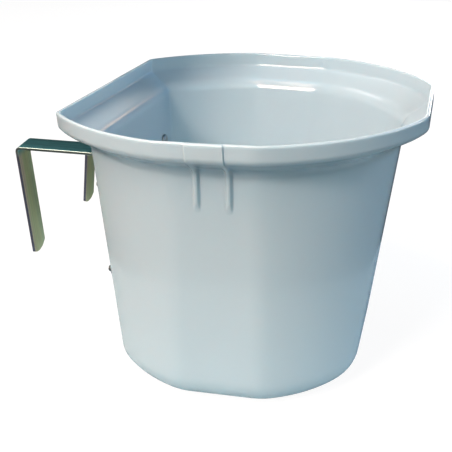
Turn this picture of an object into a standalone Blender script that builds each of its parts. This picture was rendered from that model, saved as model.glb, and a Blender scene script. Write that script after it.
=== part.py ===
"""Hanging feed bucket: a moulded tub with two bolted steel rail hooks.

Metres, +Z up. The origin is the centre of the round body on the underside of
the floor. +Y points at the flat back wall that carries the hooks, -Y at the
front, and the plane X = 0 divides the tub into mirrored halves.

Run with blender --background --python part.py, or from the text editor.
"""

import math

import bmesh
import bpy
import numpy as np
from mathutils import Matrix, Vector

# Tub: overall form. The plan is a circle that flats cut into.
BUCKET_HEIGHT = 0.246
RIM_RADIUS = 0.165
WALL = 0.003
FLOOR = 0.0035
BODY_DRAFT = math.radians(4.7)
BASE_ROUNDING = 0.0315

# Tub: the collar, which is the flared band under the rim.
COLLAR_HEIGHT = 0.0270
NECK_INSET = 0.0245
LIP_DRAFT = math.radians(5.0)
COLLAR_RADIUS = 0.0065
UNDERSIDE_SLOPE = math.radians(29.0)
NECK_FILLET = 0.012

# Tub: how deep each flat cuts into the circle at the rim, the neck and the floor.
BACK_CUT_RIM = 0.0388
BACK_CUT_NECK = 0.0354
BACK_CUT_FLOOR = 0.0297
FRONT_CUT_RIM = 0.0083
FRONT_CUT_NECK = 0.0042
FRONT_CUT_FLOOR = 0.0125
SIDE_CUT_RIM = 0.0042
SIDE_CUT_NECK = 0.0033
SIDE_CUT_FLOOR = 0.0054

# Tub: how far the middle of each side flat lies in front of the axis.
SIDE_SHIFT_RIM = 0.0088
SIDE_SHIFT_NECK = 0.0098
SIDE_SHIFT_FLOOR = 0.0060

# Tub: radii that blend a flat into the circle, in plan.
BACK_CORNER_RIM = 0.0074
BACK_CORNER_FLOOR = 0.022
FLAT_BLEND = 0.028

# Tub: the carrying lug on each side flat, a proud pad on the collar over two ribs.
LUG_WIDTH = 0.0285
LUG_PROUD = 0.0022
LUG_RAMP = 0.0012
LUG_FADE = 0.005
RIB_WIDTH = 0.004
RIB_PROUD_TOP = 0.0062
RIB_PROUD_END = 0.0050
RIB_LENGTH = 0.034
RIB_REACH = 0.019
RIB_HOLLOW = 1.4
RIB_SINK = 0.0014
RIB_EDGE = 0.0012

# Hooks: one bent flat strip each. They are bent by hand, so each has its own set.
# The tilt turns a hook on the wall, the skew turns the fold line of its outer
# bend, and the spread opens its outer leg away from the tub.
STRIP_WIDTH = 0.025
STRIP_THICKNESS = 0.0025
BEND_INSIDE = 0.0025
HOOK_SPACING = 0.132
ARM_DROP = 0.040
OUTER_LEG = 0.1045
CROWN_RADIUS = 0.0203
LEFT_GAP = 0.073
LEFT_TILT = math.radians(-1.7)
LEFT_SKEW = math.radians(-5.4)
LEFT_SPREAD = 0.0
RIGHT_GAP = 0.067
RIGHT_TILT = 0.0
RIGHT_SKEW = math.radians(-3.4)
RIGHT_SPREAD = math.radians(7.8)

# Fixings: two bolts through each hook's inner leg and the back wall.
BOLT_DIAMETER = 0.006
BOLT_DROP = 0.032
BOLT_PITCH = 0.081
LEG_MARGIN = 0.014
HEAD_DIAMETER = 0.012
HEAD_HEIGHT = 0.0033
HEAD_BRIM = 0.0008
NUT_FLATS = 0.010
NUT_HEIGHT = 0.005
NUT_LAND = 0.0047
NUT_CHAMFER = 0.0006
BOLT_END = 0.003
END_CHAMFER = 0.0007

# Clearances between separate pieces.
SEAT_GAP = 0.0003
HOLE_CLEARANCE = 0.0003

# Facet counts.
ARC_STEPS_SIDE = 9
ARC_STEPS_FRONT = 12
CORNER_STEPS = 5
PROFILE_STEPS = 6
LIP_STEPS = 4
BEND_STEPS = 7
CROWN_STEPS = 6
ROUND_STEPS = 24
DOME_STEPS = 5

# Edges sharper than this are shaded as edges.
SHARP_ANGLE = math.radians(32.0)

NECK_HEIGHT = BUCKET_HEIGHT - COLLAR_HEIGHT


def lerp(a, b, t):
    """Value that runs from a to b as t runs from 0 to 1."""
    return a + (b - a) * t


def by_height(z, at_rim, at_neck, at_floor):
    """A size given at the rim, the neck and the floor, read at height z."""
    if z > NECK_HEIGHT:
        return lerp(at_neck, at_rim, (z - NECK_HEIGHT) / COLLAR_HEIGHT)
    return lerp(at_floor, at_neck, z / NECK_HEIGHT)


def back_cut(z):
    """Depth of the back flat at height z."""
    return by_height(z, BACK_CUT_RIM, BACK_CUT_NECK, BACK_CUT_FLOOR)


def side_cut(z):
    """Depth of each side flat at height z."""
    return by_height(z, SIDE_CUT_RIM, SIDE_CUT_NECK, SIDE_CUT_FLOOR)


def front_cut(z):
    """Depth of the front flat at height z."""
    return by_height(z, FRONT_CUT_RIM, FRONT_CUT_NECK, FRONT_CUT_FLOOR)


def body_radius(z):
    """Outside radius of the tapered body at height z, below the collar."""
    return RIM_RADIUS - NECK_INSET - (NECK_HEIGHT - z) * math.tan(BODY_DRAFT)


def back_wall(z):
    """Distance of the back wall's outer face from the axis at height z."""
    return body_radius(z) - back_cut(z)


def side_wall(z):
    """Distance of a side flat's outer face from the axis at height z."""
    return body_radius(z) - side_cut(z)


def side_turn(z):
    """Angle by which a side flat faces forward at height z."""
    below = min(z, NECK_HEIGHT)
    shift = by_height(z, SIDE_SHIFT_RIM, SIDE_SHIFT_NECK, SIDE_SHIFT_FLOOR)
    return math.asin(shift / side_wall(below))


BACK_LEAN = math.atan((back_wall(NECK_HEIGHT) - back_wall(0.0)) / NECK_HEIGHT)


def hook_frame(x, tilt):
    """Axes of a hook at its upper bolt: local Y out of the wall, Z up the leg."""
    z = BUCKET_HEIGHT - ARM_DROP - BOLT_DROP * math.cos(BACK_LEAN)
    place = Matrix.Translation(Vector((x, back_wall(z), z)))
    return place @ Matrix.Rotation(-BACK_LEAN, 4, "X") @ Matrix.Rotation(tilt, 4, "Y")


def hook_frames():
    """Frames of the two hooks by side."""
    half = HOOK_SPACING / 2.0
    return {"left": hook_frame(-half, LEFT_TILT), "right": hook_frame(half, RIGHT_TILT)}


# Tub profile, in the plane of the wall: (inset from the rim circle, height).

def line_meet(p, d, q, e):
    """Point where the line through p along d meets the line through q along e."""
    cross = d[0] * e[1] - d[1] * e[0]
    t = ((q[0] - p[0]) * e[1] - (q[1] - p[1]) * e[0]) / cross
    return np.array([p[0] + d[0] * t, p[1] + d[1] * t])


def wall_corners(depth):
    """Corner points of the wall's profile, offset into the tub by depth.

    They are the rim, the collar's bulge, the neck, the floor's edge and a point
    on the floor. Each straight of the profile is moved along its own normal.
    """
    lip = np.array([math.sin(LIP_DRAFT), -math.cos(LIP_DRAFT)])
    under = np.array([math.cos(UNDERSIDE_SLOPE), -math.sin(UNDERSIDE_SLOPE)])
    wall = np.array([math.sin(BODY_DRAFT), -math.cos(BODY_DRAFT)])
    floor = np.array([1.0, 0.0])
    neck = np.array([NECK_INSET, NECK_HEIGHT])
    floor_depth = FLOOR if depth > 0.0 else 0.0

    def inward(direction):
        return np.array([-direction[1], direction[0]])

    start_lip = np.array([0.0, BUCKET_HEIGHT]) + inward(lip) * depth
    start_under = neck + inward(under) * depth
    start_wall = neck + inward(wall) * depth
    start_floor = np.array([0.0, floor_depth])
    rim = line_meet(start_lip, lip, (0.0, BUCKET_HEIGHT), floor)
    bulge = line_meet(start_lip, lip, start_under, under)
    waist = line_meet(start_under, under, start_wall, wall)
    edge = line_meet(start_wall, wall, start_floor, floor)
    return [rim, bulge, waist, edge, edge + floor * RIM_RADIUS]


def rounded(corners, radii):
    """Points along a polyline whose inner corners carry arcs of the given radii."""
    points = [corners[0]]
    for before, corner, after, radius in zip(corners, corners[1:], corners[2:], radii):
        a = (before - corner) / np.linalg.norm(before - corner)
        b = (after - corner) / np.linalg.norm(after - corner)
        half = math.acos(float(np.clip(a @ b, -1.0, 1.0))) / 2.0
        centre = corner + (a + b) / np.linalg.norm(a + b) * radius / math.sin(half)
        start = corner + a * radius / math.tan(half)
        sweep = math.pi - 2.0 * half
        spoke = start - centre
        turn = -math.copysign(1.0, a[0] * b[1] - a[1] * b[0])
        for i in range(PROFILE_STEPS + 1):
            angle = turn * sweep * i / PROFILE_STEPS
            c, s = math.cos(angle), math.sin(angle)
            points.append(centre + np.array([c * spoke[0] - s * spoke[1],
                                             s * spoke[0] + c * spoke[1]]))
    return points


def wall_profile(depth):
    """Profile of the tub's outer face (depth 0) or inner face (depth WALL)."""
    radii = (COLLAR_RADIUS - depth, NECK_FILLET + depth, BASE_ROUNDING - depth)
    return rounded(wall_corners(depth), radii)


def lip_profile(outer_top, inner_top):
    """Half round over the rim's top edge, from its outer to its inner face."""
    centre = (outer_top + inner_top) / 2.0
    radius = (inner_top[0] - outer_top[0]) / 2.0
    angles = [math.pi * i / LIP_STEPS for i in range(1, LIP_STEPS)]
    return [centre + radius * np.array([-math.cos(a), math.sin(a)]) for a in angles]


# Tub plan: one closed ring of points for each point of the profile.

def flat_points(radius, cut, corner, facing, pad=None):
    """Points of one flat and its two blends, from its clockwise end on.

    The flat's outward normal has the polar angle facing. pad gives the places
    along the flat, and the distances out of it, of points on the flat itself.
    """
    depth = radius - cut - corner
    reach = math.sqrt((radius - corner) ** 2 - depth ** 2)
    span = math.atan2(reach, depth)
    local = []
    for i in range(CORNER_STEPS + 1):
        a = -span * (1.0 - i / CORNER_STEPS)
        local.append((depth + corner * math.cos(a), -reach + corner * math.sin(a)))
    for along, out in pad or ():
        local.append((depth + corner + out, along))
    for i in range(CORNER_STEPS + 1):
        a = span * i / CORNER_STEPS
        local.append((depth + corner * math.cos(a), reach + corner * math.sin(a)))
    c, s = math.cos(facing), math.sin(facing)
    return [(c * u - s * v, s * u + c * v) for u, v in local], span


def lug_pad(z, depth):
    """Points that raise the lug's pad out of a side flat at height z.

    The pad is extra thickness on the outside, so it dies out over the wall's
    thickness and the inner face stays smooth.
    """
    rise = min(max((z - NECK_HEIGHT) / LUG_FADE, 0.0), 1.0)
    out = LUG_PROUD * rise * rise * (3.0 - 2.0 * rise) * (1.0 - depth / WALL)
    edge = LUG_WIDTH / 2.0
    inner = edge - LUG_RAMP
    return ((-edge, 0.0), (-inner, out), (inner, out), (edge, 0.0))


def plan_ring(inset, z, depth):
    """Closed outline of the tub at one point of its profile.

    It runs counter-clockwise seen from above. inset is measured from the rim
    circle, and depth is how far the face lies behind the outer face.
    """
    radius = RIM_RADIUS - inset
    shrink = min(radius / body_radius(min(z, NECK_HEIGHT)), 1.0)
    corner = by_height(z, BACK_CORNER_RIM, BACK_CORNER_RIM, BACK_CORNER_FLOOR)
    corner = (corner - depth) * shrink
    blend = (FLAT_BLEND - depth) * shrink
    turn = side_turn(z)
    pad = lug_pad(z, depth)
    flats = (
        (side_cut(z), blend, -turn, pad, ARC_STEPS_SIDE),
        (back_cut(z), corner, math.pi / 2.0, None, ARC_STEPS_SIDE),
        (side_cut(z), blend, math.pi + turn, pad, ARC_STEPS_FRONT),
        (front_cut(z), blend, 1.5 * math.pi, None, ARC_STEPS_FRONT),
    )
    built = [flat_points(radius, *flat[:4]) + flat[2:] for flat in flats]
    ring = []
    for i, (points, span, facing, _, steps) in enumerate(built):
        _, next_span, next_facing, _, _ = built[(i + 1) % len(built)]
        start = facing + span
        end = next_facing - next_span
        if end < start:
            end += 2.0 * math.pi
        ring.extend(points)
        for k in range(1, steps):
            a = lerp(start, end, k / steps)
            ring.append((radius * math.cos(a), radius * math.sin(a)))
    return [Vector((x, y, z)) for x, y in ring]


# Mesh building.

def loft(rings, closed=False):
    """Mesh data of quads between rings of equal length, with flat caps unless closed."""
    size = len(rings[0])
    verts = [v for ring in rings for v in ring]
    faces = []
    last = len(rings) if closed else len(rings) - 1
    for r in range(last):
        low = r * size
        high = (r + 1) % len(rings) * size
        for i in range(size):
            j = (i + 1) % size
            faces.append((low + i, low + j, high + j, high + i))
    if not closed:
        faces.append(tuple(reversed(range(size))))
        faces.append(tuple(range((len(rings) - 1) * size, len(rings) * size)))
    return verts, faces


def make_mesh(name, verts, faces):
    """Closed mesh with its faces pointing out."""
    mesh = bpy.data.meshes.new(name)
    mesh.from_pydata([tuple(v) for v in verts], [], faces)
    bm = bmesh.new()
    bm.from_mesh(mesh)
    bmesh.ops.remove_doubles(bm, verts=bm.verts, dist=1e-7)
    bmesh.ops.recalc_face_normals(bm, faces=bm.faces)
    bm.to_mesh(mesh)
    bm.free()
    return mesh


def add_object(name, mesh, material=None, parent=None):
    """Object in the scene, shaded smooth except at sharp edges."""
    mesh.shade_smooth()
    mesh.set_sharp_from_angle(angle=SHARP_ANGLE)
    obj = bpy.data.objects.new(name, mesh)
    bpy.context.scene.collection.objects.link(obj)
    if material is not None and not mesh.materials:
        mesh.materials.append(material)
    obj.parent = parent
    return obj


def add_cutter(name, mesh):
    """Guide body for a Boolean, kept out of renders."""
    obj = add_object(name, mesh)
    obj.hide_render = True
    obj.display_type = "WIRE"
    return obj


def add_boolean(obj, name, operation, other):
    """Boolean modifier that joins or cuts obj with another body."""
    mod = obj.modifiers.new(name, "BOOLEAN")
    mod.operation = operation
    mod.solver = "EXACT"
    mod.object = other


def turned(profile):
    """Rings of a body of revolution about Z from (radius, z) points."""
    angles = [2.0 * math.pi * k / ROUND_STEPS for k in range(ROUND_STEPS)]
    return [[Vector((radius * math.cos(a), radius * math.sin(a), z)) for a in angles]
            for radius, z in profile]


def material(name, colour, roughness, metallic):
    """Principled material with one colour."""
    mat = bpy.data.materials.new(name)
    mat.use_nodes = True
    shader = mat.node_tree.nodes["Principled BSDF"]
    shader.inputs["Base Color"].default_value = (*colour, 1.0)
    shader.inputs["Roughness"].default_value = roughness
    shader.inputs["Metallic"].default_value = metallic
    return mat


# Tub.

def tub_rings():
    """Rings from the outer floor edge, up over the rim and down to the inner floor."""
    outer = wall_profile(0.0)
    inner = wall_profile(WALL)
    top = lip_profile(outer[0], inner[0])
    drop = (inner[0][0] - outer[0][0]) / 2.0
    outer[0] = outer[0] - np.array([0.0, drop])
    inner[0] = inner[0] - np.array([0.0, drop])
    top = [p - np.array([0.0, drop]) for p in top]
    rings = [plan_ring(i, z, 0.0) for i, z in reversed(outer)]
    rings += [plan_ring(i, z, i - outer[0][0]) for i, z in top]
    rings += [plan_ring(i, z, WALL) for i, z in inner]
    return rings


def rib_sunk_edge():
    """Inner edge of a lug rib's side view, sunk into the wall and the collar.

    Points are (distance out of the side wall's face, height), from the top.
    """
    top = NECK_HEIGHT + RIB_REACH * math.tan(UNDERSIDE_SLOPE)
    toe = NECK_HEIGHT - RIB_LENGTH
    return [(RIB_REACH, top + RIB_SINK), (-RIB_SINK, NECK_HEIGHT), (-RIB_SINK, toe)]


def rib_free_edge():
    """Outer edge of a lug rib's side view, from its rounded toe to the collar.

    It leaves the collar's underside in a shallow hollow: its reach grows with
    the height above the bend raised to RIB_HOLLOW.
    """
    top = NECK_HEIGHT + RIB_REACH * math.tan(UNDERSIDE_SLOPE)
    bend = NECK_HEIGHT - RIB_PROUD_TOP
    toe = NECK_HEIGHT - RIB_LENGTH
    points = []
    for i in range(PROFILE_STEPS + 1):
        a = math.pi / 2.0 * i / PROFILE_STEPS
        points.append((RIB_PROUD_END * math.sin(a), toe + RIB_PROUD_END * (1.0 - math.cos(a))))
    for i in range(PROFILE_STEPS + 1):
        t = i / PROFILE_STEPS
        points.append((lerp(RIB_PROUD_TOP, RIB_REACH, t ** RIB_HOLLOW), lerp(bend, top, t)))
    return points


def rib_place(side, out, along, z):
    """Position of a rib point on the left (-1) or the right (+1) side flat."""
    turn = side_turn(z)
    c, s = math.cos(turn), math.sin(turn)
    u = side_wall(z) + out
    return Vector((side * (c * u + s * along), -s * u + c * along, z))


def rib_body(side, centre):
    """One lug rib as vertex positions and faces, its free edges chamfered."""
    half = RIB_WIDTH / 2.0
    sunk = rib_sunk_edge()
    outline = sunk + rib_free_edge()
    bm = bmesh.new()
    rims = [[bm.verts.new(rib_place(side, out, centre + edge, z)) for out, z in outline]
            for edge in (-half, half)]
    for i, low in enumerate(rims[0]):
        j = (i + 1) % len(outline)
        bm.faces.new((low, rims[0][j], rims[1][j], rims[1][i]))
    for rim in rims:
        bm.faces.new(rim)
    bmesh.ops.recalc_face_normals(bm, faces=bm.faces)
    edges = []
    for rim in rims:
        free = set(rim[len(sunk) + 1:])
        edges += [e for e in bm.edges if free.issuperset(e.verts)]
    bmesh.ops.bevel(bm, geom=edges, offset=RIB_EDGE, segments=1, affect="EDGES")
    bm.verts.index_update()
    verts = [v.co.copy() for v in bm.verts]
    faces = [tuple(v.index for v in f.verts) for f in bm.faces]
    bm.free()
    return verts, faces


def joined(bodies):
    """Vertex positions and faces of several bodies in one list each."""
    verts = []
    faces = []
    for body_verts, body_faces in bodies:
        base = len(verts)
        verts.extend(body_verts)
        faces.extend(tuple(base + i for i in face) for face in body_faces)
    return verts, faces


def rib_mesh():
    """The four lug ribs, one under each end of the two side pads."""
    offset = (LUG_WIDTH - RIB_WIDTH) / 2.0
    places = [(side, end * offset) for side in (-1.0, 1.0) for end in (-1.0, 1.0)]
    return make_mesh("lug_ribs", *joined(rib_body(*place) for place in places))


def fixing_frames():
    """Frames of the four bolts: on the wall's outer face, local Z pointing out."""
    turn = Matrix.Rotation(-math.pi / 2.0, 4, "X")
    down = Matrix.Translation(Vector((0.0, 0.0, -BOLT_PITCH)))
    frames = {}
    for side, frame in hook_frames().items():
        frames[side + "_upper"] = frame @ turn
        frames[side + "_lower"] = frame @ down @ turn
    return frames


def hole_mesh():
    """Cutters for the bolt holes through the back wall and the hooks' inner legs."""
    radius = BOLT_DIAMETER / 2.0 + HOLE_CLEARANCE
    reach = 2.0 * (WALL + STRIP_THICKNESS)
    verts, faces = loft(turned([(radius, -reach), (radius, reach)]))
    bodies = [([frame @ v for v in verts], faces) for frame in fixing_frames().values()]
    return make_mesh("fixing_holes", *joined(bodies))


def build_tub(mat, holes):
    """Moulded tub in one piece, with its lug ribs and bolt holes."""
    verts, faces = loft(tub_rings())
    tub = add_object("bucket_shell", make_mesh("bucket_shell", verts, faces), mat)
    ribs = add_cutter("lug_rib_bodies", rib_mesh())
    add_boolean(tub, "lug ribs", "UNION", ribs)
    add_boolean(tub, "bolt holes", "DIFFERENCE", holes)


# Hooks.

class Strip:
    """A flat strip that is bent as it is drawn, seen as a point with three axes.

    ahead points along the strip, face out of the side that touches the rail,
    and across over the width. Sections hold the four corners at each station.
    """

    def __init__(self, place, ahead, face):
        self.place = place
        self.ahead = ahead
        self.face = face
        self.sections = []

    def mark(self, half_width=STRIP_WIDTH / 2.0, skew=0.0):
        """Record the strip's section here, along a line turned by skew on its face."""
        line = self.fold_line(skew) * half_width / math.cos(skew)
        back = self.place - self.face * STRIP_THICKNESS
        self.sections.append([self.place - line, self.place + line, back + line, back - line])

    def fold_line(self, skew):
        """Line over the strip's width, turned by skew on its face."""
        return Matrix.Rotation(skew, 3, self.face) @ self.face.cross(self.ahead)

    def run(self, length):
        """Go straight on."""
        self.place = self.place + self.ahead * length

    def bend(self, angle, skew=0.0):
        """Fold towards the rail side round the inside radius."""
        line = self.fold_line(skew)
        step = angle / BEND_STEPS
        slide = line * math.tan(skew) * step * (BEND_INSIDE + STRIP_THICKNESS / 2.0)
        turn = Matrix.Rotation(-step, 3, line)
        self.mark(skew=skew)
        for _ in range(BEND_STEPS):
            centre = self.place + self.face * BEND_INSIDE
            self.ahead = turn @ self.ahead
            self.face = turn @ self.face
            self.place = centre - self.face * BEND_INSIDE - slide
            self.mark(skew=skew)

    def crown(self, opening):
        """Rounded end of a leg, opening out from its tip or closing onto it."""
        widest = math.asin(STRIP_WIDTH / 2.0 / CROWN_RADIUS)
        fractions = [(i + 1) / CROWN_STEPS for i in range(CROWN_STEPS)]
        if not opening:
            fractions.reverse()
        travelled = None
        for fraction in fractions:
            angle = widest * fraction
            rise = CROWN_RADIUS * (1.0 - math.cos(angle))
            if travelled is not None:
                self.run(abs(rise - travelled))
            travelled = rise
            self.mark(CROWN_RADIUS * math.sin(angle))


def crown_height():
    """Height of a leg's rounded end."""
    return CROWN_RADIUS - math.sqrt(CROWN_RADIUS ** 2 - (STRIP_WIDTH / 2.0) ** 2)


def hook_mesh(name, frame, gap, skew, spread):
    """One hook: inner leg up the back wall, arm out, outer leg down."""
    axes = frame.to_3x3()
    out = axes.col[1].copy()
    up = axes.col[2].copy()
    below = BOLT_PITCH + LEG_MARGIN
    tip = frame.translation + out * (SEAT_GAP + STRIP_THICKNESS) - up * below
    strip = Strip(tip, up, out)
    strip.crown(opening=True)
    strip.run(below + BOLT_DROP - crown_height() - BEND_INSIDE - STRIP_THICKNESS)
    strip.bend(math.pi / 2.0 - BACK_LEAN)
    strip.run(gap - 2.0 * BEND_INSIDE)
    strip.bend(math.pi / 2.0 - spread, skew)
    strip.run(OUTER_LEG - crown_height() - BEND_INSIDE)
    strip.crown(opening=False)
    verts, faces = loft(strip.sections)
    return make_mesh(name, verts, faces)


def build_hook(side, mat, holes, gap, skew, spread):
    """Steel hook with its two bolt holes."""
    name = side + "_hook"
    hook = add_object(name, hook_mesh(name, hook_frames()[side], gap, skew, spread), mat)
    add_boolean(hook, "bolt holes", "DIFFERENCE", holes)


# Fixings, made about local Z with zero on the back wall's outer face.

def nut_seat():
    """Height of the nut's face on the hook."""
    return STRIP_THICKNESS + 2.0 * SEAT_GAP


def bolt_mesh():
    """Bolt with a low domed head inside the tub and a chamfered end outside."""
    shank = BOLT_DIAMETER / 2.0
    head = HEAD_DIAMETER / 2.0
    under = -WALL - SEAT_GAP
    end = nut_seat() + NUT_HEIGHT + BOLT_END
    profile = [(shank - END_CHAMFER, end), (shank, end - END_CHAMFER), (shank, under)]
    profile.append((head, under))
    dome = HEAD_HEIGHT - HEAD_BRIM
    for i in range(DOME_STEPS):
        a = math.pi / 2.0 * i / DOME_STEPS
        profile.append((head * math.cos(a), under - HEAD_BRIM - dome * math.sin(a)))
    verts, faces = loft(turned(profile))
    return make_mesh("bolt", verts, faces)


def hexagon_ring(z, drop):
    """Hexagon in ROUND_STEPS points, lowered towards its corners by up to drop.

    The chamfer is a cone that starts at the land, so the flats' middles lie
    a little below z as well.
    """
    inner = NUT_FLATS / 2.0
    reach = inner / math.cos(math.pi / 6.0) - NUT_LAND
    ring = []
    for k in range(ROUND_STEPS):
        a = 2.0 * math.pi * k / ROUND_STEPS
        off = (a + math.pi / 6.0) % (math.pi / 3.0) - math.pi / 6.0
        radius = inner / math.cos(off)
        ring.append(Vector((radius * math.cos(a), radius * math.sin(a),
                            z - drop * (radius - NUT_LAND) / reach)))
    return ring


def nut_mesh():
    """Hexagon nut with corners chamfered on both faces."""
    bore = BOLT_DIAMETER / 2.0 + HOLE_CLEARANCE
    low = nut_seat()
    high = low + NUT_HEIGHT
    rings = turned([(bore, low), (NUT_LAND, low)])
    rings.append(hexagon_ring(low, -NUT_CHAMFER))
    rings.append(hexagon_ring(high, NUT_CHAMFER))
    rings += turned([(NUT_LAND, high), (bore, high)])
    verts, faces = loft(rings, closed=True)
    return make_mesh("nut", verts, faces)


def build_fixings(mat):
    """Four bolts with their nuts, each pair on its own empty."""
    bolt = bolt_mesh()
    nut = nut_mesh()
    for name, frame in fixing_frames().items():
        axis = bpy.data.objects.new("fixing_" + name, None)
        axis.matrix_world = frame
        bpy.context.scene.collection.objects.link(axis)
        add_object("bolt_" + name, bolt, mat, axis)
        add_object("nut_" + name, nut, mat, axis)


def clear_scene():
    """Remove whatever the scene holds."""
    for obj in list(bpy.data.objects):
        bpy.data.objects.remove(obj, do_unlink=True)


def main():
    """Build the tub, the hooks and their fixings."""
    clear_scene()
    plastic = material("pale moulded plastic", (0.66, 0.72, 0.74), 0.22, 0.0)
    steel = material("yellow passivated steel", (0.36, 0.35, 0.20), 0.34, 1.0)
    zinc = material("zinc plated steel", (0.40, 0.42, 0.42), 0.32, 1.0)
    holes = add_cutter("fixing_hole_bodies", hole_mesh())
    build_tub(plastic, holes)
    build_hook("left", steel, holes, LEFT_GAP, LEFT_SKEW, LEFT_SPREAD)
    build_hook("right", steel, holes, RIGHT_GAP, RIGHT_SKEW, RIGHT_SPREAD)
    build_fixings(zinc)


main()
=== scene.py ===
"""Looks of a hanging feed bucket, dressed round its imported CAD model.

Metres, +Z up, in the frame of the CAD model: the origin is the centre of the
round body on the underside of the floor, +Y points at the flat back wall that
carries the hooks, and the plane X = 0 divides the tub into mirrored halves.
"""

from __future__ import annotations

import logging
import math
from dataclasses import dataclass
from enum import Enum

import bpy
import numpy as np
from bpy.types import ID, Material, Mesh, NodeSocket, Object
from mathutils import Matrix, Vector


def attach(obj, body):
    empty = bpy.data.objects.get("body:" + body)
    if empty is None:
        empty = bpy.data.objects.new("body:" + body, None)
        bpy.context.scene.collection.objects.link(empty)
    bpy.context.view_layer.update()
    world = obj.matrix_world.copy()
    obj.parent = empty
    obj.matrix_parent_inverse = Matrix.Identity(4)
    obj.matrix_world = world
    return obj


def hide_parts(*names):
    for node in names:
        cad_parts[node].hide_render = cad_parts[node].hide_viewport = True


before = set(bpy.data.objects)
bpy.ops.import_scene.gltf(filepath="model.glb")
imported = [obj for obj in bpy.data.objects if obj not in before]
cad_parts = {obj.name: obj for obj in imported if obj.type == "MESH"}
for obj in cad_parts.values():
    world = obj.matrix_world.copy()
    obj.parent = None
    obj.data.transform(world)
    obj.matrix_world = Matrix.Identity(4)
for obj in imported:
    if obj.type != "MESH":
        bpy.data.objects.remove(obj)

log = logging.getLogger("feed_bucket")
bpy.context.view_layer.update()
BODY = "root"
MM = 0.001
QUARTER = math.pi / 2.0
MATT = 0.9
COARSE_DETAIL = 2.0
Pair = tuple[float, float]
Triple = tuple[float, float, float]
Straight = tuple[np.ndarray, np.ndarray]


# Arrays and meshes.

def smooth_step(t: np.ndarray) -> np.ndarray:
    """Rises from 0 to 1 as t does, as 3t^2 - 2t^3, and stays flat outside."""
    t = np.clip(t, 0.0, 1.0)
    return t * t * (3.0 - 2.0 * t)


def soft_rise(x: np.ndarray, rounding: float) -> np.ndarray:
    """The larger of x and 0 with its corner rounded: (x + sqrt(x^2 + r^2)) / 2."""
    return (x + np.sqrt(x * x + rounding * rounding)) / 2.0


def inner_points(steps: int, start: float = 0.0, end: float = 1.0) -> np.ndarray:
    """Evenly spaced numbers between two ends, without the ends."""
    return np.linspace(start, end, steps + 1)[1:-1]


def spun(vector: np.ndarray, axis: np.ndarray, angle: np.ndarray) -> np.ndarray:
    """Turn a vector about a unit axis by each of several angles.

    Formula: v cos(a) + (axis x v) sin(a) + axis (axis . v) (1 - cos(a)).

    Args:
        vector: The vector, three numbers.
        axis: Unit vector to turn about.
        angle: Angles in radians, n of them.

    Returns:
        The turned vectors, n by 3.
    """
    c, s = np.cos(angle)[:, None], np.sin(angle)[:, None]
    return vector * c + np.cross(axis, vector) * s + axis * (axis @ vector) * (1.0 - c)


def grid_mesh(name: str, grid: np.ndarray, wrap_rows: bool = False,
              uv: np.ndarray | None = None) -> Mesh:
    """Mesh of a surface given on a grid whose columns run round and close.

    Unless the rows close as well, the first and the last row are gathered into
    one pole each, at their middle.

    Args:
        name: Name of the mesh.
        grid: Points, rows by columns by 3. Rows times columns turn outwards.
        wrap_rows: True where the last row joins the first.
        uv: Surface coordinates, rows by columns by 2, or None.

    Returns:
        The mesh, smooth shaded.
    """
    rows, cols = grid.shape[:2]
    index = np.arange(rows * cols).reshape(rows, cols)
    low = index if wrap_rows else index[:-1]
    high = np.roll(index, -1, axis=0) if wrap_rows else index[1:]
    quads = np.stack((low, np.roll(low, -1, axis=1), np.roll(high, -1, axis=1), high), axis=-1)
    quads = quads.reshape(-1, 4)
    points = grid.reshape(-1, 3)
    fans = np.zeros((0, 3), int)
    if not wrap_rows:
        count = len(points)
        points = np.vstack((points, grid[0].mean(axis=0), grid[-1].mean(axis=0)))
        first, last = index[0], index[-1]
        fans = np.vstack((
            np.stack((np.roll(first, -1), first, np.full(cols, count)), axis=-1),
            np.stack((last, np.roll(last, -1), np.full(cols, count + 1)), axis=-1)))
    mesh = bpy.data.meshes.new(name)
    mesh.vertices.add(len(points))
    mesh.vertices.foreach_set("co", points.astype(np.float32).ravel())
    loops = np.concatenate((quads.ravel(), fans.ravel()))
    mesh.loops.add(len(loops))
    mesh.loops.foreach_set("vertex_index", loops.astype(np.int32))
    sizes = np.concatenate((np.full(len(quads), 4), np.full(len(fans), 3)))
    mesh.polygons.add(len(sizes))
    starts = np.concatenate(((0,), np.cumsum(sizes)[:-1]))
    mesh.polygons.foreach_set("loop_start", starts.astype(np.int32))
    mesh.polygons.foreach_set("use_smooth", np.ones(len(sizes), bool))
    mesh.update(calc_edges=True)
    if uv is not None:
        flat = np.vstack((uv.reshape(-1, 2), uv[0].mean(axis=0), uv[-1].mean(axis=0)))
        layer = mesh.uv_layers.new(name="strip")
        layer.data.foreach_set("uv", flat[loops].astype(np.float32).ravel())
    return mesh


def linked(name: str, data: ID) -> Object:
    """Put a new object into the scene.

    Args:
        name: Its name.
        data: Its mesh, light or camera.

    Returns:
        The object.
    """
    obj = bpy.data.objects.new(name, data)
    bpy.context.scene.collection.objects.link(obj)
    return obj


def add_piece(name: str, mesh: Mesh, material: Material, slot: str,
              *nodes: str) -> Object:
    """Put a finished mesh into the scene in place of CAD nodes.

    Args:
        name: Name of the piece.
        mesh: Its mesh, in place.
        material: Its finish.
        slot: The record's material slot; not used.
        nodes: The CAD nodes that it stands for.

    Returns:
        The object.
    """
    mesh.materials.append(material)
    obj = linked(name, mesh)
    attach(obj, BODY)
    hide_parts(*nodes)
    log.info("%s: %d faces, in place of %s", name, len(mesh.polygons), ", ".join(nodes))
    return obj


# Shader nodes.

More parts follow.
